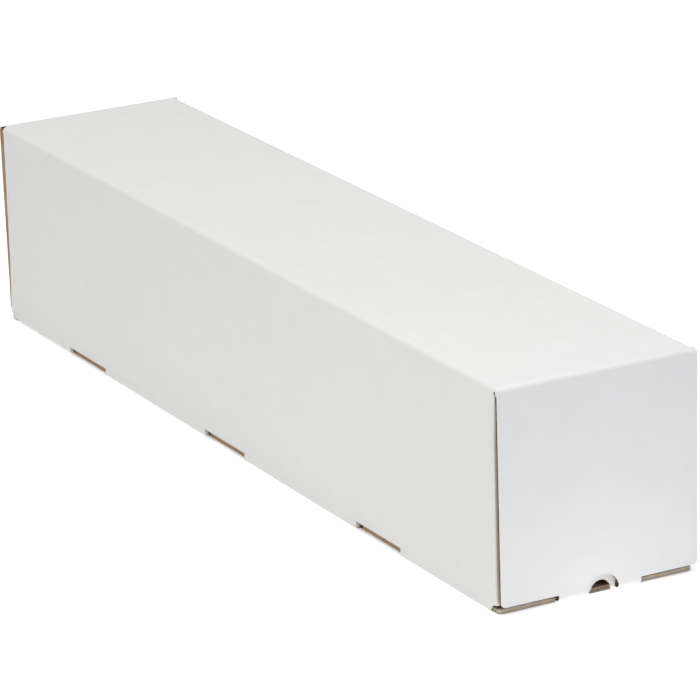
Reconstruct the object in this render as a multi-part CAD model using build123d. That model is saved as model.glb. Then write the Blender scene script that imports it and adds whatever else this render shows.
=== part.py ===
from build123d import *
import os
from math import cos, radians, sin, sqrt

# Square mailing tube folded from one sheet of corrugated board, lying on its double bottom.
# X runs along the tube, the left side with the three tabs is at -Y, Z is up from the floor.

# Closed tube and its board, in millimetres
length = 660.0
width = 133.0
inner_height = 127.0
board = 3.0
fold_inner = 0.6
ply_gap = 0.4

# Edges of the wrap
outer_bottom_inset = 1.5
inner_bottom_gap = 0.5
wrap_setback = 4.0

# Tabs of the inner bottom and their slots in the lower left fold
slot_length = 54.0
slot_pitch = 197.0
slot_middle_x = -9.0
slot_count = 3
slot_top = 5.0
tab_drop = 1.7
tab_play = 0.8
tab_far_play = 8.0
tab_recess = 0.2
tab_bend = 4.0

# End panel, its tuck tab and thumb notch
panel_inset = 0.1
front_taper = 0.6
rear_taper = 2.6
panel_corner = 3.0
panel_clear = 1.6
tuck_width = 55.4
tuck_reach = 12.0
tuck_rise = 1.2
tuck_corner = 4.0
thumb_radius = 10.5
thumb_rise = 1.5
thumb_shift = 2.0
crease_play = 0.2
side_play = 0.6

# Lock flap behind the end panel
lock_width = 98.0
lock_height = 58.0
lock_corner = 8.0
finger_radius = 6.6
finger_rise = 0.8
recess_play = 1.5

# Side flaps
side_flap_setback = 3.8
side_flap_length = 52.0
side_flap_lean = 10.5
side_flap_headroom = 0.8
side_flap_taper = 9.0
side_flap_corner = 6.0
side_flap_root = 10.0

# Ends of the outer bottom
ear_inset = 1.0
ear_corner = 2.5
ear_free_corner = 4.0
relief_length = 11.3
relief_low = 0.6
relief_slope = 3.3

# Worked out from the sizes above
fold_outer = fold_inner + board
inner_bottom_z = board + ply_gap
floor_z = inner_bottom_z + board
height = floor_z + inner_height + board
end_x = length / 2
half_width = width / 2
wrap_end = end_x - wrap_setback
bottom_end = end_x - board - ply_gap
recess_end = end_x - board - tuck_reach - recess_play
tuck_half = tuck_width / 2
neck_half = sqrt(thumb_radius ** 2 - (board - thumb_rise) ** 2) - side_play
lock_shoulder = board + tuck_rise + ply_gap
reach = max(length, width, height)


def span(x0, x1, y0, y1, z0, z1):
    """Box between two opposite corners."""
    centre = ((x0 + x1) / 2, (y0 + y1) / 2, (z0 + z1) / 2)
    return Pos(*centre) * Box(x1 - x0, y1 - y0, z1 - z0)


def inside_path(path):
    """Path one board to the right of the direction of travel."""
    normals = []
    for (x0, y0), (x1, y1) in zip(path, path[1:]):
        run = sqrt((x1 - x0) ** 2 + (y1 - y0) ** 2)
        normals.append(((y1 - y0) / run, (x0 - x1) / run))
    shifted = []
    for index, (x, y) in enumerate(path):
        ax, ay = normals[max(index - 1, 0)]
        bx, by = normals[min(index, len(normals) - 1)]
        reach_out = board / (1 + ax * bx + ay * by)
        shifted.append((x + (ax + bx) * reach_out, y + (ay + by) * reach_out))
    return shifted


def folded_board(path):
    """Section of the folded board: path is its outer face, with every fold a right turn."""
    outer = FilletPolyline(*path, radius=fold_outer)
    inner = FilletPolyline(*inside_path(path), radius=fold_inner)
    ends = [Line(outer @ 0, inner @ 0), Line(outer @ 1, inner @ 1)]
    return make_face(outer.edges() + inner.edges() + ends)


def along_x(face):
    """Cutter or blank from a face drawn in Y and Z, right through the tube's length."""
    return extrude(Plane.YZ * face, amount=reach, both=True)


def across(face, across_width):
    """Solid from a face drawn in X and Z, centred on the tube's width."""
    return extrude(Plane.XZ * face, amount=across_width / 2, both=True)


def outline(points, rounded, radius):
    """Closed outline with some of its corners rounded."""
    face = make_face(Polyline(*points, close=True))
    corners = [v for v in face.vertices() if any((v.center() - Vector(*p)).length < 1e-6 for p in rounded)]
    return fillet(corners, radius)


def both_ends(shape):
    return shape + mirror(shape, about=Plane.YZ)


# Wrap: outer bottom, left side, top, right side, inner bottom
wrap_path = [
    (half_width - outer_bottom_inset, 0),
    (-half_width, 0),
    (-half_width, height),
    (half_width, height),
    (half_width, inner_bottom_z),
    (inner_bottom_gap + board - half_width, inner_bottom_z),
]
body = extrude(Plane.YZ * folded_board(wrap_path), amount=wrap_end, both=True)

# Slots in the lower left fold, with a tab of the inner bottom through each
slot_inner_y = board + inner_bottom_gap + tab_bend - half_width
wall_inner_y = board - half_width
tab_low = inner_bottom_z - tab_drop
tab_section = make_face(Polyline(
    (slot_inner_y, inner_bottom_z),
    (slot_inner_y, floor_z),
    (wall_inner_y, tab_low + board),
    (tab_recess - half_width, tab_low + board),
    (tab_recess - half_width, tab_low),
    (wall_inner_y, tab_low),
    close=True,
))
for number in range(slot_count):
    slot_x = slot_middle_x + (number - (slot_count - 1) / 2) * slot_pitch
    slot_start = slot_x - slot_length / 2
    slot_stop = slot_x + slot_length / 2
    tab_start = slot_start + tab_far_play
    tab_stop = slot_stop - tab_play
    bend_start = tab_start - tab_play
    body -= span(slot_start, slot_stop, -half_width - board, wall_inner_y, -board, slot_top)
    body -= span(bend_start, slot_stop, wall_inner_y, slot_inner_y, -board, floor_z + ply_gap)
    body += extrude(Plane.YZ.offset(tab_start) * tab_section, amount=tab_stop - tab_start)

# Relief at the ends: inner bottom set back, lower left fold cut away, room for the side flaps' folds
side_flap_x = end_x - side_flap_setback
side_flap_low = slot_top
side_flap_high = height - fold_outer - side_flap_headroom
root_x = side_flap_x - side_flap_root
inner_cut = span(recess_end, end_x, wall_inner_y, width, board + ply_gap / 2, inner_bottom_z + fold_outer)
relief_x = end_x - relief_length
relief_face = make_face(Polyline(
    (relief_x, -board),
    (relief_x, relief_low),
    (relief_x + relief_slope, slot_top),
    (end_x, slot_top),
    (end_x, -board),
    close=True,
))
fold_room = span(relief_x, end_x, -width, fold_outer - half_width, -board, slot_top)
fold_cut = across(relief_face, 2 * width) & fold_room
window_cut = span(root_x, end_x, half_width - board - fold_inner, width, side_flap_low, side_flap_high)
relief = inner_cut + fold_cut + window_cut + mirror(window_cut, about=Plane.XZ)
body -= both_ends(relief)

# Side flaps, leaning in behind the lock flap
lean = radians(side_flap_lean)
side_flap_path = [
    (root_x, half_width),
    (side_flap_x, half_width),
    (side_flap_x - side_flap_length * sin(lean), half_width - side_flap_length * cos(lean)),
]
side_flap = extrude(folded_board(side_flap_path), amount=height)
tip_y = side_flap_path[-1][1]
fold_y = half_width - fold_outer
tip_low = (tip_y - board, side_flap_low + side_flap_taper)
tip_high = (tip_y - board, side_flap_high - side_flap_taper)
side_flap &= along_x(outline(
    [(width, side_flap_low), (width, side_flap_high), (fold_y, side_flap_high), tip_high, tip_low,
     (fold_y, side_flap_low)],
    [tip_low, tip_high], side_flap_corner))

# Ears: the outer bottom's raw ends, either side of the tuck tab
ear_inner = tuck_half + side_play
left_ear = span(relief_x, bottom_end, ear_inset - half_width, -ear_inner, 0, board)
left_ear = fillet(left_ear.edges().filter_by(Axis.Z).group_by(Axis.X)[-1].sort_by(Axis.Y)[0], ear_corner)
right_ear = span(relief_x, bottom_end, ear_inner, half_width - outer_bottom_inset, 0, board)
free_corner = right_ear.edges().filter_by(Axis.Z).group_by(Axis.X)[-1].sort_by(Axis.Y)[-1]
right_ear = fillet(free_corner, ear_free_corner)

# Lock flap: folded up from a neck of the outer bottom, with a finger hole over a raw lip
lock_path = [(bottom_end, lock_height), (bottom_end, 0), (recess_end, 0)]
neck_left = thumb_shift - neck_half
neck_right = thumb_shift + neck_half
lock_high = [(-lock_width / 2, lock_height), (lock_width / 2, lock_height)]
lock_flap = across(folded_board(lock_path), lock_width)
lock_flap &= along_x(outline(
    [*lock_high, (lock_width / 2, lock_shoulder), (neck_right, lock_shoulder), (neck_right, -board),
     (neck_left, -board), (neck_left, lock_shoulder), (-lock_width / 2, lock_shoulder)],
    lock_high, lock_corner))
finger_hole = Pos(bottom_end, thumb_shift, finger_rise) * Rot(Y=90) * Cylinder(finger_radius, 2 * fold_outer)
lip_half = finger_radius + ply_gap
lip = span(recess_end, bottom_end, thumb_shift - lip_half, thumb_shift + lip_half, 0, board)
lock_flap = lock_flap - finger_hole + lip
recess = span(recess_end, end_x, -ear_inner, ear_inner, -board, board + ply_gap / 2)

# Fold from the top into the end panel, parted on the plane that halves it
end_path = [(wrap_end, height), (end_x, height), (end_x, 0), (end_x - tuck_reach, tuck_rise)]
end_section = folded_board(end_path)
hinge_inset = fold_outer * (1 - 1 / sqrt(2))
hinge_x = end_x - hinge_inset
hinge_z = height - hinge_inset
panel_half = half_width - panel_inset


def fold_plane(shift):
    """Plane through the fold's middle, moved towards the end panel by shift."""
    step = shift / sqrt(2)
    return Plane((hinge_x + step, 0, hinge_z - step), x_dir=(0, 1, 0), z_dir=(1, 0, -1))


top_edge = across(end_section, 2 * panel_half)
top_edge = split(top_edge, bisect_by=fold_plane(-crease_play / 2), keep=Keep.BOTTOM)

body -= both_ends(recess)
body += both_ends(top_edge + side_flap + mirror(side_flap, about=Plane.XZ) + left_ear + right_ear + lock_flap)

# End panels, each with its tuck tab, thumb notch and the two prongs that the notch leaves
panel_low = inner_bottom_z + panel_clear
thumb_notch = Pos(end_x, thumb_shift, thumb_rise) * Rot(Y=90) * Cylinder(thumb_radius, 4 * tuck_reach)
beside_tab = span(end_x - 2 * tuck_reach, end_x - board, tuck_half, width, -board, 2 * fold_outer)


def end_panel(taper):
    """Front end panel, narrower at its lower edge by the taper on each side."""
    low_half = panel_half - taper
    low_corners = [(-low_half, panel_low), (low_half, panel_low)]
    panel = split(across(end_section, width), bisect_by=fold_plane(crease_play / 2), keep=Keep.TOP)
    panel &= along_x(outline(
        [(-panel_half, height), (panel_half, height), low_corners[1], (tuck_half, panel_low),
         (tuck_half, -board), (-tuck_half, -board), (-tuck_half, panel_low), low_corners[0]],
        low_corners, panel_corner))
    panel -= thumb_notch + beside_tab + mirror(beside_tab, about=Plane.XZ)
    prong_tips = panel.faces().sort_by(Axis.X)[:2].edges().sort_by(Axis.Y)
    return fillet([prong_tips[0], prong_tips[-1]], tuck_corner)


os.makedirs("parts", exist_ok=True)
nodes = {
    "tube_body": body,
    "front_end_flap": end_panel(front_taper),
    "rear_end_flap": mirror(end_panel(rear_taper), about=Plane.YZ),
}
for name, shape in nodes.items():
    export_step(shape, f"parts/{name}.step")
    print(name, [round(v, 2) for v in shape.bounding_box().size], round(shape.volume))
print("hinge line at x", round(hinge_x, 3), "z", round(hinge_z, 3))
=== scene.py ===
import bpy
import bmesh
import math
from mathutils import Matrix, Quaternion, Vector


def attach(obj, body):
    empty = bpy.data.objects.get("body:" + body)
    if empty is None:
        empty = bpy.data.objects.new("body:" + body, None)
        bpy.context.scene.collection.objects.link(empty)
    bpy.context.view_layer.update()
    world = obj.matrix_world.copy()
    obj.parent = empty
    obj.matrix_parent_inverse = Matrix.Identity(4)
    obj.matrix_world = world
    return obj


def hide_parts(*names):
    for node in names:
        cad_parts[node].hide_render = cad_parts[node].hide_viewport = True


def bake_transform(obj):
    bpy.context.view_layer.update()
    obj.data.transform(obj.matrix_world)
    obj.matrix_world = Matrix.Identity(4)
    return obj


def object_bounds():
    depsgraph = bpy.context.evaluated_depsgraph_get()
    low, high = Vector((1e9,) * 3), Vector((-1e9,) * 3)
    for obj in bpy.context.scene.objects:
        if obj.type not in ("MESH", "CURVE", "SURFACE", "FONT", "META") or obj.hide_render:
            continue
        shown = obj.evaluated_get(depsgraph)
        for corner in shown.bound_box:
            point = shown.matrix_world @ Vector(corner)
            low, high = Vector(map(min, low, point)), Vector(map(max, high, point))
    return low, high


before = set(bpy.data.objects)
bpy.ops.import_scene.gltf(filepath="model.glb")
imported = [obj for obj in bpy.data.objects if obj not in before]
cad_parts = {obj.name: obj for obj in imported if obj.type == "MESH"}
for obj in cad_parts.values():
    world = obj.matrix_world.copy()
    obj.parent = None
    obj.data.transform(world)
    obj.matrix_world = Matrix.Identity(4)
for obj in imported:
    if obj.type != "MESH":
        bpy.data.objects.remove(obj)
cadLow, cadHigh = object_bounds()
print("frame loaded:", sorted(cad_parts))

mm = 0.001  # meshes are drawn in millimetres and scaled once at the end
axisX = Vector((1, 0, 0))
axisY = Vector((0, 1, 0))
axisZ = Vector((0, 0, 1))
hair = 0.01    # clears faces and edges that lie on a cut
slack = 0.1    # wider clearance, beside a fold
beyond = 1.1   # reach of a cut past what it cuts
cutSnap = 1e-5
sharpAngle = math.radians(40)  # folds gentler than this are shaded smooth

# corrugated board: white liner outside, kraft liner inside, a wave of medium between
board = {
    "thick": 3.0,
    "liner": 0.3,
    "medium": 0.25,
    "pitch": 6.4,
    "waveSteps": 12,
    "foldInner": 0.6,
    "foldSteps": 8,
    "lead": 1.0,       # flat lead-in that keeps the shading of a fold off the panel
    "plyGap": 0.4,
    "rolled": 0.9,     # a cut across the flutes rolls the white liner over the raw edge
    "rolledCrease": 2.2,
    "rollEase": 0.3,   # bend of a rolled edge
    "rollSteps": 3,
    "shy": 0.3,        # leaves the kraft liner just behind it
    "shyMedium": 0.9,  # and the medium deeper
}
foldOuter = board["foldInner"] + board["thick"]
coreDepth = (board["thick"] - board["medium"]) / 2
waveHeight = board["thick"] / 2 - board["liner"] - board["medium"] / 2
layers = {"outer": 0.0, "inner": board["thick"]}

tube = {
    "length": (cadHigh.x - cadLow.x) / mm,
    "width": (cadHigh.y - cadLow.y) / mm,
    "height": (cadHigh.z - cadLow.z) / mm,
    "bottomInset": 1.5,
    "innerBottomGap": 0.5,
    "setback": 4.0,        # wrap ends short of the end panels
    "relief": 11.3,        # lower left fold cut back, along a slope
    "reliefLow": 0.6,
    "reliefSlope": 3.3,
    "earInset": 1.0,
    "earCorners": {"left": 2.5, "right": 4.0},
    "earRolled": 2.2,
    "earClosed": 2.6,      # white liner over the rear left ear's side
    "rearGap": 1.2,        # upper left fold ends short of the rear crease
    "sidePlay": 0.6,
    "pressed": {"from": -300.0, "to": 90.0, "power": 0.25},  # lower left fold, square along the near half
}
endX = tube["length"] / 2
halfWidth = tube["width"] / 2
height = tube["height"]
wrapEnd = endX - tube["setback"]
reliefX = endX - tube["relief"]
bottomEnd = endX - board["thick"] - board["plyGap"]
innerBottomZ = board["thick"] + board["plyGap"]
foldY = halfWidth - foldOuter
foldTop = height - foldOuter

tabs = {
    "length": 54.0,
    "pitch": 197.0,
    "middleX": -9.0,
    "count": 3,
    "slotTop": 5.0,
    "drop": 1.7,
    "play": 0.8,
    "farPlay": 8.0,
    "recess": 0.2,
    "bend": 4.0,
    "whiteRolled": 0.4,
    "kraftRolled": 2.4,  # the kraft liner closes most of the tab's raw edge
    "slotRolled": 2.4,
}
wallInnerY = board["thick"] - halfWidth
slotInnerY = wallInnerY + tube["innerBottomGap"] + tabs["bend"]

endFlap = {
    "inset": 0.1,
    "edges": {  # the cut sides, turned over by the white liner at the front and the kraft liner at the rear
        "front": {"taper": 0.6, "white": board["rolled"], "kraft": 0, "crease": "outer"},
        "rear": {"taper": 1.6, "white": 0, "kraft": 2.4, "crease": "inner"},
    },
    "corner": 3.0,
    "clear": 1.6,
    "tuckHalf": 27.7,
    "tuckReach": 12.0,
    "tuckRise": 1.2,
    "tipCorner": 4.0,
    "notch": 10.5,
    "notchRise": 1.5,
    "notchShift": 2.0,
    "cornerZone": 0.75,  # share of the half width past which the lower corners lie
}
panelHalf = halfWidth - endFlap["inset"]
panelLow = innerBottomZ + endFlap["clear"]
tuckLean = math.atan(endFlap["tuckRise"] / endFlap["tuckReach"])
tuckTurn = math.pi / 2 + tuckLean
tuckTangent = foldOuter * math.tan(tuckTurn / 2)

lockFlap = {
    "half": 49.0,
    "height": 58.0,
    "corner": 8.0,
    "hole": 6.6,
    "holeRise": 0.8,
    "recessPlay": 1.5,
}
recessEnd = endX - board["thick"] - endFlap["tuckReach"] - lockFlap["recessPlay"]
neckHalf = math.sqrt(endFlap["notch"] ** 2 - (board["thick"] - endFlap["notchRise"]) ** 2) - tube["sidePlay"]
neckLeft = endFlap["notchShift"] - neckHalf
neckRight = endFlap["notchShift"] + neckHalf
lipHalf = lockFlap["hole"] + board["plyGap"]
lipLeft = endFlap["notchShift"] - lipHalf
lipRight = endFlap["notchShift"] + lipHalf
lockShoulder = board["thick"] + endFlap["tuckRise"] + board["plyGap"]
earInner = endFlap["tuckHalf"] + tube["sidePlay"]

sideFlap = {
    "setback": 5.0,
    "fold": {"outer": 1.2, "inner": 0.3},  # crushed tighter than the long folds
    "length": 52.0,
    "lean": math.radians(10.5),
    "low": tabs["slotTop"],
    "headroom": 0.8,
    "pinch": {  # where it lies closer to the end panel
        "front": {"from": foldTop - 31, "to": foldTop, "out": 1.5},
        "rear": {"from": 40, "to": 0, "out": 1.7},
    },
    "taper": 9.0,
    "corner": 6.0,
}
sideTurn = math.pi / 2 + sideFlap["lean"]
sideSlant = math.tan(sideTurn / 2)
sideX = endX - sideFlap["setback"]
sideHigh = foldTop - sideFlap["headroom"]
sideRoot = sideX - foldOuter * sideSlant - board["lead"]


def onceEach(items):
    # without repeats, in the order they come
    return list(dict.fromkeys(items))


def extrudeBy(bm, edges, step):
    made = bmesh.ops.extrude_edge_only(bm, edges=edges)["geom"]
    verts = [g for g in made if isinstance(g, bmesh.types.BMVert)]
    bmesh.ops.translate(bm, verts=verts, vec=step)
    return [g for g in made if isinstance(g, bmesh.types.BMEdge)]


def run(bm, edges, step):
    # a flat panel, with a narrow lead beside each fold
    lead = Vector(step).normalized() * board["lead"]
    middle = Vector(step) - 2 * lead
    if middle.dot(lead) <= 0:
        return extrudeBy(bm, edges, step)
    for part in (lead, middle, lead):
        edges = extrudeBy(bm, edges, part)
    return edges


def turn(bm, edges, centre, axis, angle):
    verts = onceEach(v for e in edges for v in e.verts)
    last = bmesh.ops.spin(bm, geom=edges + verts, cent=centre, axis=axis, angle=angle,
                          steps=board["foldSteps"], use_merge=False)["geom_last"]
    return [g for g in last if isinstance(g, bmesh.types.BMEdge)]


def faceOutwards(bm, faces, outward):
    bm.normal_update()
    if faces[0].normal.dot(outward) < 0:
        bmesh.ops.reverse_faces(bm, faces=faces)


def layOut(first, last, outward, moves):
    # one folded sheet from a starting edge: runs are flat, turns are folds
    bm = bmesh.new()
    edges = [bm.edges.new((bm.verts.new(first), bm.verts.new(last)))]
    for move in moves:
        edges = run(bm, edges, move) if isinstance(move, Vector) else turn(bm, edges, *move)
    bm.faces.ensure_lookup_table()
    faceOutwards(bm, bm.faces[:], outward)
    return bm


def layWave(first, last, outward, reach, phase=0.0):
    # one flat sheet of medium: waves from first to last, flutes along reach
    bm = bmesh.new()
    first = Vector(first)
    along = Vector(last) - first
    bm.edges.new((bm.verts.new(first), bm.verts.new(last)))
    steps = max(2, round(along.length / board["pitch"] * board["waveSteps"]))
    bmesh.ops.subdivide_edges(bm, edges=bm.edges[:], cuts=steps - 1)
    for v in bm.verts:
        waves = (v.co - first).length / board["pitch"]
        v.co -= outward * (coreDepth + waveHeight * math.sin(2 * math.pi * waves + phase))
    extrudeBy(bm, bm.edges[:], reach)
    bm.faces.ensure_lookup_table()
    faceOutwards(bm, bm.faces[:], outward)
    return bm


def facesNear(bm, low, high):
    near = []
    for f in bm.faces:
        if all(min(v.co[i] for v in f.verts) < high[i] and max(v.co[i] for v in f.verts) > low[i]
               for i in range(3)):
            near.append(f)
    return near


def scorePlane(bm, faces, point, normal, drop=False):
    edges = onceEach(e for f in faces for e in f.edges)
    verts = onceEach(v for f in faces for v in f.verts)
    bmesh.ops.bisect_plane(bm, geom=faces + edges + verts, dist=cutSnap, plane_co=point,
                           plane_no=normal, clear_outer=drop)


def cutBox(bm, low, high, slope=None):
    # a box, or the part of it on the far side of a sloping plane
    margin = Vector((1e-4, 1e-4, 1e-4))
    planes = [(corner, axis) for axis in (axisX, axisY, axisZ) for corner in (low, high)]
    if slope:
        planes.append(slope)
    for point, normal in planes:
        near = facesNear(bm, Vector(low) - margin, Vector(high) + margin)
        if near:
            scorePlane(bm, near, point, normal)
    inside = []
    for f in bm.faces:
        middle = f.calc_center_median()
        if all(low[i] < middle[i] < high[i] for i in range(3)):
            if slope is None or (middle - slope[0]).dot(slope[1]) > 0:
                inside.append(f)
    bmesh.ops.delete(bm, geom=inside, context="FACES")


def cutRound(bm, radius, rise, low, high):
    # round hole along X at the thumb notch, between two places along the tube
    sides = 32
    centre = Vector((0, endFlap["notchShift"], rise))
    room = Vector((0, radius, radius)) * beyond
    near = centre - room + axisX * low
    far = centre + room + axisX * high
    normals = [axisY * math.cos(a) + axisZ * math.sin(a)
               for a in (2 * math.pi * k / sides for k in range(sides))]
    for normal in normals:
        scorePlane(bm, facesNear(bm, near, far), centre + normal * radius, normal)
    for f in facesNear(bm, near, far):
        middle = f.calc_center_median()
        if low < middle.x < high and all((middle - centre).dot(n) < radius for n in normals):
            bm.faces.remove(f)
    loose = [e for e in bm.edges if not e.link_faces]
    bmesh.ops.delete(bm, geom=loose, context="EDGES")


def roundCorner(bm, corner, outA, outB, radius, pick=None):
    # trims a convex corner with a row of planes that touch its arc
    steps = 6
    centre = Vector(corner) - (outA + outB) * (radius / (1 + outA.dot(outB)))
    for k in range(1, steps):
        normal = outA.slerp(outB, k / steps)
        faces = [f for f in bm.faces if pick is None or pick(f.calc_center_median())]
        scorePlane(bm, faces, centre + normal * radius, normal, drop=True)


def trimSlope(bm, pointA, pointB, outward):
    # straight cut through two points of the outline, right through along X
    along = (Vector(pointB) - Vector(pointA)).normalized()
    normal = along.cross(axisX)
    if normal.dot(outward) < 0:
        normal = -normal
    scorePlane(bm, bm.faces[:], pointA, normal, drop=True)
    return normal


def rollEdge(bm, pick, inward, reach, finish=0):
    # turns the liner over a cut edge, with the bend eased
    rim = [e for e in bm.edges if e.is_boundary and pick((e.verts[0].co + e.verts[1].co) / 2)]
    made = bmesh.ops.extrude_edge_only(bm, edges=rim)["geom"]
    for g in made:
        if isinstance(g, bmesh.types.BMVert):
            g.co += inward(g.co) * reach
        elif isinstance(g, bmesh.types.BMFace):
            g.material_index = finish
    bmesh.ops.bevel(bm, geom=rim, offset=board["rollEase"], offset_type="OFFSET", segments=board["rollSteps"],
                    profile=0.5, affect="EDGES", material=-1)


# places of the raw edges' finishes among a kraft piece's finishes
kraftFinishes = {"raw": 2, "medium": 3}


def rawFinish(depth):
    return 0 if depth == layers["outer"] else kraftFinishes["raw"]


def thicken(bm, amount):
    # grows the sheet away from its face, and marks the new side with the second finish
    made = bmesh.ops.solidify(bm, geom=bm.faces[:], thickness=amount)["geom"]
    for g in made:
        if isinstance(g, bmesh.types.BMFace):
            g.material_index = 1
    return bm


def bothEnds(sheets):
    flipped = []
    for bm in sheets:
        twin = bm.copy()
        bmesh.ops.scale(twin, verts=twin.verts[:], vec=(-1, 1, 1))
        bmesh.ops.reverse_faces(twin, faces=twin.faces[:])
        flipped.append(twin)
    return sheets + flipped


def atEnd(sheets, rear):
    return bothEnds(sheets)[len(sheets):] if rear else sheets


def finishPiece(name, sheets, amount, finishes, body, slot):
    joined = bmesh.new()
    for bm in sheets:
        thicken(bm, amount)
        part = bpy.data.meshes.new(name)
        bm.to_mesh(part)
        joined.from_mesh(part)
        bm.free()
        bpy.data.meshes.remove(part)
    bmesh.ops.scale(joined, verts=joined.verts[:], vec=(mm, mm, mm))
    joined.normal_update()
    for f in joined.faces:
        f.smooth = True
    for e in joined.edges:
        e.smooth = e.is_manifold and e.calc_face_angle() < sharpAngle
    mesh = bpy.data.meshes.new(name)
    joined.to_mesh(mesh)
    joined.free()
    piece = bpy.data.objects.new(name, mesh)
    bpy.context.scene.collection.objects.link(piece)
    for finish in finishes:
        mesh.materials.append(finish)
    if body:
        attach(piece, body)
    return piece


# finishes
def newFinish(name, roughness, specular):
    finish = bpy.data.materials.new(name)
    finish.use_nodes = True
    tree = finish.node_tree
    shader = tree.nodes["Principled BSDF"]
    shader.inputs["Roughness"].default_value = roughness
    shader.inputs["Specular IOR Level"].default_value = specular
    coords = tree.nodes.new("ShaderNodeTexCoord")
    return finish, tree, shader, coords.outputs["Object"]


def noiseOn(tree, coords, scale, stretch, detail):
    mapping = tree.nodes.new("ShaderNodeMapping")
    mapping.inputs["Scale"].default_value = stretch
    noise = tree.nodes.new("ShaderNodeTexNoise")
    noise.inputs["Scale"].default_value = scale
    noise.inputs["Detail"].default_value = detail
    tree.links.new(coords, mapping.inputs["Vector"])
    tree.links.new(mapping.outputs["Vector"], noise.inputs["Vector"])
    return noise.outputs["Fac"]


def rampOn(tree, factor, dark, light, low=0.3, high=0.7):
    ramp = tree.nodes.new("ShaderNodeValToRGB")
    ramp.color_ramp.elements[0].position = low
    ramp.color_ramp.elements[0].color = (*dark, 1)
    ramp.color_ramp.elements[1].position = high
    ramp.color_ramp.elements[1].color = (*light, 1)
    tree.links.new(factor, ramp.inputs["Fac"])
    return ramp.outputs["Color"]


def bumpOn(tree, shader, heightOut, strength, distance):
    bump = tree.nodes.new("ShaderNodeBump")
    bump.inputs["Strength"].default_value = strength
    bump.inputs["Distance"].default_value = distance
    tree.links.new(heightOut, bump.inputs["Height"])
    if shader.inputs["Normal"].is_linked:
        tree.links.new(shader.inputs["Normal"].links[0].from_socket, bump.inputs["Normal"])
    tree.links.new(bump.outputs["Normal"], shader.inputs["Normal"])


whitePaper = {
    "dark": (0.795, 0.795, 0.782),
    "light": (0.812, 0.812, 0.799),
    "roughness": 0.6,
    "specular": 0.35,
    "cloud": {"scale": 60, "detail": 3},
    "fibre": {"scale": 900, "detail": 4},
    "fibreBump": {"strength": 0.12, "distance": 0.0002},
    "fluteBump": {"strength": 0.03, "distance": 0.0002},
}
brownPaper = {"roughness": 0.82, "specular": 0.2, "detail": 5, "bump": {"strength": 0.25, "distance": 0.0003}}
kraftPaper = {"dark": (0.48, 0.335, 0.245), "light": (0.64, 0.46, 0.345), "fibre": 420}
# painted shade: the kraft liner's back, which faces the flutes, is coloured far darker than kraft so the
# hollow core of the board reads as shade
kraftBackPaintedShade = {"dark": (0.15, 0.11, 0.08), "light": (0.23, 0.175, 0.13), "fibre": 420}
kraftEdge = {"dark": (0.3, 0.195, 0.105), "light": (0.46, 0.31, 0.17), "fibre": 420}
mediumPaper = {"dark": (0.46, 0.38, 0.29), "light": (0.62, 0.53, 0.42), "fibre": 500}


def makeWhitePaper(name, waveAxis):
    finish, tree, shader, coords = newFinish(name, whitePaper["roughness"], whitePaper["specular"])
    cloud = noiseOn(tree, coords, stretch=(1, 1, 1), **whitePaper["cloud"])
    tree.links.new(rampOn(tree, cloud, whitePaper["dark"], whitePaper["light"]), shader.inputs["Base Color"])
    fibre = noiseOn(tree, coords, stretch=(1, 1, 1), **whitePaper["fibre"])
    bumpOn(tree, shader, fibre, **whitePaper["fibreBump"])
    wash = tree.nodes.new("ShaderNodeTexWave")  # flutes showing faintly through the liner
    wash.bands_direction = waveAxis
    wash.inputs["Scale"].default_value = math.pi / 10 / (board["pitch"] * mm)
    tree.links.new(coords, wash.inputs["Vector"])
    bumpOn(tree, shader, wash.outputs["Fac"], **whitePaper["fluteBump"])
    return finish


def makeBrownPaper(name, paper, stretch):
    finish, tree, shader, coords = newFinish(name, brownPaper["roughness"], brownPaper["specular"])
    fibre = noiseOn(tree, coords, paper["fibre"], stretch, brownPaper["detail"])
    tree.links.new(rampOn(tree, fibre, paper["dark"], paper["light"]), shader.inputs["Base Color"])
    bumpOn(tree, shader, fibre, **brownPaper["bump"])
    return finish


whiteLiner = makeWhitePaper("white_liner", "X")
whiteLinerEnd = makeWhitePaper("white_liner_end", "Z")
kraftGrain = (1, 0.25, 0.25)
kraftLiner = makeBrownPaper("kraft_liner", kraftPaper, kraftGrain)
# painted shade for the kraft liner's flute side and cut rims, its second finish
kraftCorePaintedShade = makeBrownPaper("kraft_core_painted_shade", kraftBackPaintedShade, kraftGrain)
kraftRaw = makeBrownPaper("kraft_raw", kraftEdge, kraftGrain)
flutedMedium = makeBrownPaper("fluted_medium", mediumPaper, (1, 0.5, 0.5))
print("finishes made")


# wrap: outer bottom, left side, top, right side, inner bottom
def slotStarts():
    for number in range(tabs["count"]):
        middle = tabs["middleX"] + (number - (tabs["count"] - 1) / 2) * tabs["pitch"]
        yield middle - tabs["length"] / 2


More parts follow.
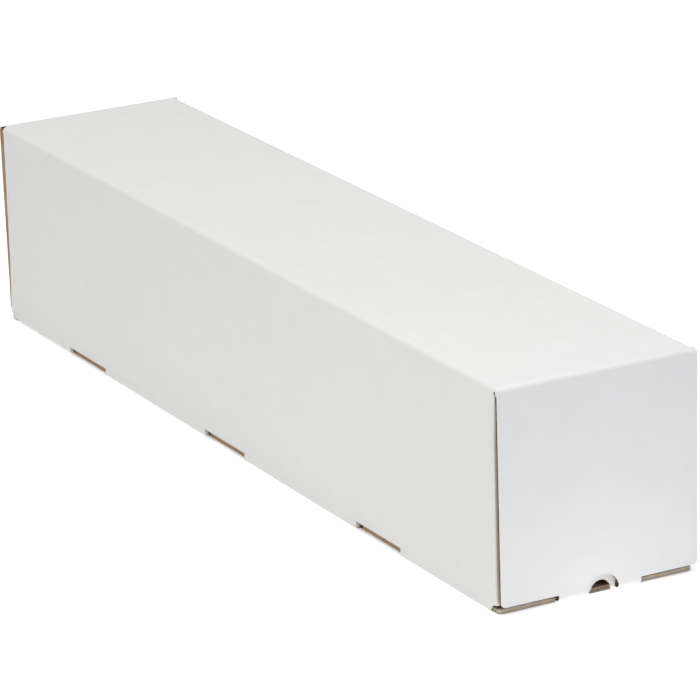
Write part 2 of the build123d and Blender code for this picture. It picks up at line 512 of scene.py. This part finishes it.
def cutWrap(bm):
    away = 2 * halfWidth
    for x in slotStarts():
        stop = x + tabs["length"]
        bend = x + tabs["farPlay"] - tabs["play"]
        cutBox(bm, (x, -away, -1), (stop, wallInnerY + hair, tabs["slotTop"]))
        cutBox(bm, (bend, wallInnerY + 2 * hair, -1), (stop, slotInnerY, innerBottomZ + foldOuter))
    for side in (-1, 1):
        rise = tabs["slotTop"] - tube["reliefLow"]
        slope = (Vector((side * reliefX, 0, tube["reliefLow"])),
                 Vector((side * rise, 0, -tube["reliefSlope"])))
        xs = sorted((side * reliefX, side * endX))
        cutBox(bm, (xs[0], -away, -1), (xs[1], -foldY, tabs["slotTop"]), slope)
        reaches = [
            (recessEnd, wallInnerY + hair, board["thick"] + hair, away, innerBottomZ + foldOuter),
            (reliefX, -foldY, -1, away, board["thick"] + hair),
            (recessEnd, -earInner, -1, earInner, board["thick"] + hair),
            (sideRoot, -away, sideFlap["low"], wallInnerY + hair, sideHigh),
            (sideRoot, -wallInnerY - hair, sideFlap["low"], away, sideHigh),
        ]
        if side < 0:
            reaches.append((wrapEnd - tube["rearGap"], -away, sideHigh, wallInnerY + hair, height + 1))
        for x, y0, z0, y1, z1 in reaches:
            xs = sorted((side * x, side * endX))
            cutBox(bm, (xs[0], y0, z0), (xs[1], y1, z1))


def pressFold(bm):
    pressed = tube["pressed"]
    scorePlane(bm, bm.faces[:], (pressed["to"], 0, 0), axisX)
    for v in bm.verts:
        across = (-foldY - v.co.y) / foldOuter
        down = 1 - v.co.z / foldOuter
        if across > 0 and down > 0:
            share = (v.co.x - pressed["from"]) / (pressed["to"] - pressed["from"])
            power = 1 - min(max(share, 0), 1) * (1 - pressed["power"])
            v.co.y = -foldY - foldOuter * across ** power
            v.co.z = foldOuter * (1 - down ** power)


def closeSlots(bm):
    # the liner turned over the far end of each slot
    for x in slotStarts():
        def atFarEnd(middle):
            return abs(middle.x - x) < hair and middle.y < wallInnerY and middle.z < tabs["slotTop"]
        rollEdge(bm, atFarEnd, lambda place: axisY, tabs["slotRolled"])


def wrapSheet(depth, outward):
    quarter = (axisX, -math.pi / 2)
    bm = layOut(
        (-wrapEnd, halfWidth - tube["bottomInset"], depth),
        (wrapEnd, halfWidth - tube["bottomInset"], depth),
        outward * -axisZ,
        [
            Vector((0, tube["bottomInset"] - halfWidth - foldY, 0)),
            ((0, -foldY, foldOuter), *quarter),
            Vector((0, 0, foldTop - foldOuter)),
            ((0, -foldY, foldTop), *quarter),
            Vector((0, 2 * foldY, 0)),
            ((0, foldY, foldTop), *quarter),
            Vector((0, 0, innerBottomZ + foldOuter - foldTop)),
            ((0, foldY, innerBottomZ + foldOuter), *quarter),
            Vector((0, tube["innerBottomGap"] + board["thick"] - halfWidth - foldY, 0)),
        ])
    if depth == layers["outer"]:
        pressFold(bm)
    cutWrap(bm)
    if depth == layers["outer"]:
        closeSlots(bm)
    return bm


def wrapWaves():
    bottomY = halfWidth - tube["bottomInset"]
    innerY = tube["innerBottomGap"] + board["thick"] - halfWidth
    panels = [
        (bottomY, 0, -axisZ, Vector((0, -foldY - bottomY, 0))),
        (-halfWidth, foldOuter, -axisY, Vector((0, 0, foldTop - foldOuter))),
        (-foldY, height, axisZ, Vector((0, 2 * foldY, 0))),
        (halfWidth, foldTop, axisY, Vector((0, 0, innerBottomZ + foldOuter - foldTop))),
        (foldY, innerBottomZ, -axisZ, Vector((0, innerY - foldY, 0))),
    ]
    for y, z, outward, reach in panels:
        bm = layWave((-wrapEnd, y, z), (wrapEnd, y, z), outward, reach)
        cutWrap(bm)
        yield bm


tabTipY = tabs["recess"] - halfWidth


def tabSheets(depth, outward):
    tipY = tabTipY if depth == layers["outer"] else tabTipY + board["shy"]
    for x in slotStarts():
        bm = layOut(
            (x + tabs["farPlay"], slotInnerY, innerBottomZ + depth),
            (x + tabs["length"] - tabs["play"], slotInnerY, innerBottomZ + depth),
            outward * -axisZ,
            [Vector((0, wallInnerY - slotInnerY, -tabs["drop"])), Vector((0, tipY - wallInnerY, 0))])
        reach = tabs["whiteRolled"] if depth == layers["outer"] else tabs["kraftRolled"]
        rollEdge(bm, lambda middle: middle.y < tipY + hair, lambda place: outward * axisZ,
                 reach, rawFinish(depth))
        yield bm


def tabWaves():
    tipY = tabTipY + board["shyMedium"]
    low = innerBottomZ - tabs["drop"]
    for x in slotStarts():
        start = x + tabs["farPlay"]
        stop = x + tabs["length"] - tabs["play"]
        yield layWave((start, wallInnerY, low), (stop, wallInnerY, low), -axisZ,
                      Vector((0, tipY - wallInnerY, 0)))
        yield layWave((start, slotInnerY, innerBottomZ), (stop, slotInnerY, innerBottomZ), -axisZ,
                      Vector((0, wallInnerY - slotInnerY, -tabs["drop"])))


# ears: raw ends of the outer bottom, either side of the tuck tab
earRanges = {
    "left": (tube["earInset"] - halfWidth, -earInner, -axisY),
    "right": (earInner, halfWidth - tube["bottomInset"], axisY),
}


def trimEar(bm, ear):
    y0, y1, outer = earRanges[ear]
    edgeY = y0 if outer.y < 0 else y1
    roundCorner(bm, (bottomEnd, edgeY, 0), axisX, outer, tube["earCorners"][ear])


def earSheets(depth, outward, rear):
    for ear, (y0, y1, _) in earRanges.items():
        bm = layOut((reliefX, y0, depth), (reliefX, y1, depth), outward * -axisZ,
                    [axisX * (bottomEnd - reliefX)])
        trimEar(bm, ear)
        whiteSide = rear and ear == "left"
        if depth == layers["inner"]:
            first = bottomEnd - hair if whiteSide else reliefX + hair
            rollEdge(bm, lambda middle: middle.x > first and abs(middle.y) > earInner + hair,
                     lambda place: -axisZ, tube["earRolled"], kraftFinishes["medium"])
        elif whiteSide:
            sideEnd = y0 + tube["earCorners"][ear]
            rollEdge(bm, lambda middle: middle.y < sideEnd and middle.x > reliefX + hair,
                     lambda place: axisZ, tube["earClosed"])
        yield bm


def earWaves():
    for ear, (y0, y1, _) in earRanges.items():
        bm = layWave((bottomEnd, y0, 0), (reliefX, y0, 0), -axisZ, axisY * (y1 - y0), phase=-math.pi / 2)
        trimEar(bm, ear)
        yield bm


# side flaps: folded in from the sides, leaning behind the lock flap
def trimSideFlap(bm, side):
    tipY = halfWidth - sideFlap["length"] * math.cos(sideFlap["lean"])
    for z, slope, out in ((sideFlap["low"], 1, -axisZ), (sideHigh, -1, axisZ)):
        root = Vector((0, side * foldY, z))
        tip = Vector((0, side * tipY, z + slope * sideFlap["taper"]))
        normal = trimSlope(bm, root, tip, out)
        roundCorner(bm, tip, normal, -side * axisY, sideFlap["corner"])


def sideSheets(depth, outward, pinch):
    radius = sideFlap["fold"]["outer" if depth == layers["outer"] else "inner"]
    crushed = (depth + radius) * sideSlant
    for side in (-1, 1):
        y = side * (halfWidth - depth)
        direction = Vector((-math.sin(sideFlap["lean"]), -side * math.cos(sideFlap["lean"]), 0))
        centre = (sideX - crushed, y - side * radius, 0)
        bm = layOut((sideRoot, y, sideFlap["low"]), (sideRoot, y, sideHigh), outward * side * axisY,
                    [axisX * (sideX - crushed - sideRoot), (centre, axisZ, -side * sideTurn),
                     direction * (sideFlap["length"] - crushed)])
        trimSideFlap(bm, side)
        scorePlane(bm, bm.faces[:], (0, 0, pinch["from"]), axisZ)
        for v in bm.verts:
            share = (v.co.z - pinch["from"]) / (pinch["to"] - pinch["from"])
            if share > 0 and v.co.x > sideX - crushed - hair:
                v.co.x += pinch["out"] * share
        yield bm


def sideWaves():
    crushed = foldOuter * sideSlant
    for side in (-1, 1):
        direction = Vector((-math.sin(sideFlap["lean"]), -side * math.cos(sideFlap["lean"]), 0))
        facing = Vector((math.cos(sideFlap["lean"]), -side * math.sin(sideFlap["lean"]), 0))
        corner = Vector((sideX, side * halfWidth, sideFlap["low"]))
        bm = layWave(corner + direction * crushed, corner + direction * sideFlap["length"], facing,
                     axisZ * (sideHigh - sideFlap["low"]))
        trimSideFlap(bm, side)
        yield bm


# lock flap: folded up behind the end panel from a neck, with a finger hole over a raw lip
def trimLockFlap(bm):
    wide = lockFlap["half"] * beyond
    for side, y0, y1 in ((-1, -wide, neckLeft), (1, neckRight, wide)):
        cutBox(bm, (recessEnd - 1, y0, -1), (endX, y1, lockShoulder))
        corner = (0, side * lockFlap["half"], lockFlap["height"])
        roundCorner(bm, corner, axisZ, side * axisY, lockFlap["corner"])
    cutRound(bm, lockFlap["hole"], lockFlap["holeRise"], bottomEnd - foldOuter, endX)


def lockSheets(depth, outward):
    foldX = bottomEnd - foldOuter
    half = lockFlap["half"]
    bm = layOut((recessEnd, -half, depth), (recessEnd, half, depth), outward * -axisZ,
                [axisX * (foldX - recessEnd), ((foldX, 0, foldOuter), axisY, -math.pi / 2),
                 axisZ * (lockFlap["height"] - foldOuter)])
    trimLockFlap(bm)
    yield bm
    yield layOut((foldX, lipLeft, depth), (foldX, lipRight, depth), outward * -axisZ, [axisX * foldOuter])


def lockWaves():
    half = lockFlap["half"]
    bm = layWave((bottomEnd, -half, lockFlap["height"]), (bottomEnd, -half, foldOuter), axisX,
                 axisY * 2 * half)
    trimLockFlap(bm)
    yield bm
    yield layWave((bottomEnd, lipLeft, 0), (recessEnd, lipLeft, 0), -axisZ, axisY * 2 * lipHalf,
                  phase=-math.pi / 2)
    for y0, y1 in ((neckLeft, lipLeft), (lipRight, neckRight)):
        yield layWave((bottomEnd - foldOuter, y0, 0), (recessEnd, y0, 0), -axisZ, axisY * (y1 - y0))


def endSheets(depth, outward, end):
    rear = end == "rear"
    sheets = [*earSheets(depth, outward, rear), *lockSheets(depth, outward),
              *sideSheets(depth, outward, sideFlap["pinch"][end])]
    return atEnd(sheets, rear)


def tubeSheets(depth, outward):
    ends = [*endSheets(depth, outward, "front"), *endSheets(depth, outward, "rear")]
    return [wrapSheet(depth, outward), *tabSheets(depth, outward), *ends]


outerTube = finishPiece("tube_white_liner", tubeSheets(layers["outer"], 1), board["liner"],
                        [whiteLiner, flutedMedium], "tube", "white_board")
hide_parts("tube_body")
# its second finish is the painted shade on the liner's flute side
finishPiece("tube_kraft_liner", tubeSheets(layers["inner"], -1), board["liner"],
            [kraftLiner, kraftCorePaintedShade, kraftRaw, flutedMedium], "tube", "kraft_board")
endWaves = [*earWaves(), *sideWaves(), *lockWaves()]
finishPiece("tube_fluted_medium", [*wrapWaves(), *tabWaves(), *bothEnds(endWaves)], board["medium"],
            [flutedMedium, flutedMedium], "tube", "kraft_board")
print("tube built")


# end flaps: panel, tuck fold and the two prongs beside the thumb notch
def trimEndFlap(bm, shy, taper):
    tuckHalf = endFlap["tuckHalf"]
    topHalf = panelHalf - shy
    lowHalf = topHalf - taper
    zone = halfWidth * endFlap["cornerZone"]
    for side in (-1, 1):
        ys = sorted((side * tuckHalf, side * halfWidth * beyond))
        inside = endX - board["thick"] - slack
        cutBox(bm, (0, ys[0], -1), (endX + 1, ys[1], panelLow))
        cutBox(bm, (0, ys[0], panelLow), (inside, ys[1], 2 * foldOuter))
        top = Vector((0, side * topHalf, height))
        low = Vector((0, side * lowHalf, panelLow))
        slope = trimSlope(bm, top, low, side * axisY)
        scorePlane(bm, bm.faces[:], (0, side * zone, 0), axisY)
        roundCorner(bm, low, slope, -axisZ, endFlap["corner"],
                    pick=lambda middle: side * middle.y > zone)
        tip = (endX - endFlap["tuckReach"], side * tuckHalf, 0)
        roundCorner(bm, tip, -axisX, side * axisY, endFlap["tipCorner"],
                    pick=lambda middle: middle.x < endX - foldOuter and side * middle.y > 0)
    cutRound(bm, endFlap["notch"], endFlap["notchRise"], 0, endX + 1)


def prongEnd(depth):
    # where the prongs leave the tuck fold, one depth into the board
    radius = foldOuter - depth
    return Vector((endX - foldOuter - radius * math.sin(tuckLean), 0,
                   tuckTangent - radius * math.cos(tuckLean)))


prongRun = Vector((-math.cos(tuckLean), 0, math.sin(tuckLean)))
prongLength = math.hypot(endFlap["tuckReach"], endFlap["tuckRise"]) - tuckTangent
panelTop = foldTop - board["lead"]


def endFlapSheet(depth, outward, edges):
    taper = edges["taper"]
    bm = layOut((endX - depth, -panelHalf, panelTop), (endX - depth, panelHalf, panelTop), outward * axisX,
                [axisZ * (tuckTangent - panelTop),
                 ((endX - foldOuter, 0, tuckTangent), axisY, tuckTurn),
                 prongRun * prongLength])
    outer = depth == layers["outer"]
    reach = edges["white" if outer else "kraft"]
    trimEndFlap(bm, 0 if outer or reach else board["shy"], taper)
    if reach:
        rollEdge(bm, lambda middle: onSideEdge(middle, taper), lambda place: outward * -axisX,
                 reach, rawFinish(depth))
    return bm


def onSideEdge(middle, taper):
    # the two long cut edges of the end panel, without its fold and its lower edge
    lowHalf = panelHalf - taper
    onPanel = panelLow + slack < middle.z < panelTop - slack
    return onPanel and abs(middle.y) > lowHalf - endFlap["corner"]


def endFlapWaves():
    across = axisY * 2 * panelHalf
    yield layWave((endX, -panelHalf, panelTop), (endX, -panelHalf, tuckTangent), axisX, across)
    facing = Vector((-math.sin(tuckLean), 0, -math.cos(tuckLean)))
    start = prongEnd(0) - axisY * panelHalf
    yield layWave(start + prongRun * prongLength, start, facing, across, phase=-math.pi / 2)


# creases: the board bends here when an end flap opens
def towardsFold(place):
    # into the board, square to its face, anywhere along the crease
    if place.x < endX - foldOuter:
        return -axisZ
    if place.z < foldTop:
        return -axisX
    return (Vector((endX - foldOuter, place.y, foldTop)) - place).normalized()


def creaseSheet(depth, outward, rolled):
    half = panelHalf if depth in (layers["outer"], rolled) else panelHalf - board["shyMedium"]
    bm = layOut((wrapEnd, -half, height - depth), (wrapEnd, half, height - depth), outward * axisZ,
                [axisX * (endX - foldOuter - wrapEnd), ((endX - foldOuter, 0, foldTop), axisY, math.pi / 2),
                 axisZ * -board["lead"]])
    if depth == rolled:
        rollEdge(bm, lambda middle: abs(middle.y) > half - hair, lambda place: outward * towardsFold(place),
                 board["rolledCrease"], rawFinish(depth))
    return bm


creaseLayers = {
    "white_liner": (layers["outer"], 1, board["liner"], [whiteLiner, flutedMedium], "white_board"),
    "fluted_medium": (coreDepth, 1, board["medium"], [flutedMedium, flutedMedium], "kraft_board"),
    "kraft_liner": (layers["inner"], -1, board["liner"], [kraftLiner, kraftCorePaintedShade, kraftRaw], "kraft_board"),
}


for end, node, rear in (("front", "front_end_flap", False), ("rear", "rear_end_flap", True)):
    body = end + "_flap"
    edges = endFlap["edges"][end]
    white = finishPiece(body + "_white_liner", atEnd([endFlapSheet(layers["outer"], 1, edges)], rear),
                        board["liner"], [whiteLinerEnd, flutedMedium], body, "white_board")
    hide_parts(node)
    finishPiece(body + "_kraft_liner", atEnd([endFlapSheet(layers["inner"], -1, edges)], rear),
                board["liner"], [kraftLiner, kraftCorePaintedShade, kraftRaw], body, "kraft_board")
    waves = list(endFlapWaves())
    for bm in waves:
        trimEndFlap(bm, board["shyMedium"], edges["taper"])
    finishPiece(body + "_fluted_medium", atEnd(waves, rear), board["medium"],
                [flutedMedium, flutedMedium], body, "kraft_board")
    for layer, (depth, outward, amount, papers, slot) in creaseLayers.items():
        sheet = creaseSheet(depth, outward, layers[edges["crease"]])
        crease = finishPiece(end + "_crease_" + layer, atEnd([sheet], rear), amount, papers, None, slot)
        if rear:
            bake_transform(crease)
        else:  # baked in place, the same as the rear crease
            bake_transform(crease)
print("end flaps and creases built")

# floor and light
stage = {
    "floor": 6.0,
    "white": (0.85, 0.85, 0.85),
    "roughness": 0.9,
    "glow": 0.33,
    "pool": {"at": (0.37, 0.0, 0), "reach": 0.1, "glow": 0.58},  # brighter before the near end
    "sky": 0.25,
    "overhead": {"from": (0.05, -0.06, 1.0), "strength": 2.01, "spread": math.radians(55)},
    "nearFill": {"from": (0.4, -0.35, 0.9), "aim": (0.33, 0, 0.07), "size": 0.6, "spread": math.radians(180),
                 "power": 1.72, "colour": (1.0, 0.99, 0.95)},
    "frontFill": {"from": (1.0, 0.05, 0.8), "aim": (0.75, 0.05, 0), "size": 0.5, "spread": math.radians(90),
                  "power": 0.28, "colour": (0.5, 0.54, 1.0)},
}


def makeFloor():
    bm = bmesh.new()
    bmesh.ops.create_grid(bm, x_segments=1, y_segments=1, size=stage["floor"])
    mesh = bpy.data.meshes.new("floor")
    bm.to_mesh(mesh)
    bm.free()
    floor = bpy.data.objects.new("floor", mesh)
    bpy.context.scene.collection.objects.link(floor)
    finish = bpy.data.materials.new("floor_white")
    finish.use_nodes = True
    shader = finish.node_tree.nodes["Principled BSDF"]
    shader.inputs["Base Color"].default_value = (*stage["white"], 1)
    shader.inputs["Roughness"].default_value = stage["roughness"]
    shader.inputs["Specular IOR Level"].default_value = 0.0
    shader.inputs["Emission Color"].default_value = (1, 1, 1, 1)
    tree = finish.node_tree
    coords = tree.nodes.new("ShaderNodeTexCoord")
    mapping = tree.nodes.new("ShaderNodeMapping")
    reach = stage["pool"]["reach"]
    mapping.inputs["Scale"].default_value = (1 / reach, 1 / reach, 1)
    mapping.inputs["Location"].default_value = Vector(stage["pool"]["at"]) / -reach
    pool = tree.nodes.new("ShaderNodeTexGradient")
    pool.gradient_type = "SPHERICAL"
    glow = tree.nodes.new("ShaderNodeMath")
    glow.operation = "MULTIPLY_ADD"
    glow.inputs[1].default_value = stage["pool"]["glow"]
    glow.inputs[2].default_value = stage["glow"]
    tree.links.new(coords.outputs["Object"], mapping.inputs["Vector"])
    tree.links.new(mapping.outputs["Vector"], pool.inputs["Vector"])
    tree.links.new(pool.outputs["Fac"], glow.inputs[0])
    tree.links.new(glow.outputs["Value"], shader.inputs["Emission Strength"])
    mesh.materials.append(finish)


def makeSky():
    world = bpy.data.worlds.new("white_room")
    world.use_nodes = True
    back = world.node_tree.nodes["Background"]
    back.inputs["Color"].default_value = (1, 1, 1, 1)
    back.inputs["Strength"].default_value = stage["sky"]
    bpy.context.scene.world = world


def hangLight(light, place, aim):
    lamp = bpy.data.objects.new(light.name, light)
    lamp.location = place
    lamp.rotation_mode = "QUATERNION"
    lamp.rotation_quaternion = (Vector(aim) - Vector(place)).to_track_quat("-Z", "Y")
    bpy.context.scene.collection.objects.link(lamp)


def addOverhead():
    light = bpy.data.lights.new("overhead", "SUN")
    light.energy = stage["overhead"]["strength"]
    light.angle = stage["overhead"]["spread"]
    hangLight(light, stage["overhead"]["from"], (0, 0, 0))


def addFill(name):
    fill = stage[name]
    light = bpy.data.lights.new(name, "AREA")
    light.size = fill["size"]
    light.spread = fill["spread"]
    light.energy = fill["power"]
    light.color = fill["colour"]
    hangLight(light, fill["from"], fill["aim"])


makeFloor()
makeSky()
addOverhead()
addFill("nearFill")
addFill("frontFill")
bpy.context.scene.view_settings.view_transform = "Standard"

# camera, from the photograph's corners
view = {
    "azimuth": math.radians(61.55),
    "elevation": math.radians(18.392),
    "roll": math.radians(-1.6),
    "distance": 2.8832,
    "originRight": -0.01615,  # where the tube's origin lies in the camera's frame
    "originUp": -0.0527,
    "lens": 234.2,
    "sensor": 36.0,
    "clipEnd": 50,
}


def makeCamera():
    flat = math.cos(view["elevation"])
    back = Vector((math.sin(view["azimuth"]) * flat, -math.cos(view["azimuth"]) * flat,
                   math.sin(view["elevation"])))
    data = bpy.data.cameras.new("camera")
    data.sensor_width = view["sensor"]
    data.lens = view["lens"]
    data.clip_end = view["clipEnd"]
    camera = bpy.data.objects.new("camera", data)
    camera.rotation_mode = "QUATERNION"
    turned = (-back).to_track_quat("-Z", "Y") @ Quaternion((0, 0, 1), view["roll"])
    camera.rotation_quaternion = turned
    camera.location = turned @ -Vector((view["originRight"], view["originUp"], -view["distance"]))
    bpy.context.scene.collection.objects.link(camera)
    bpy.context.scene.camera = camera


makeCamera()
print("stage, light and camera set")
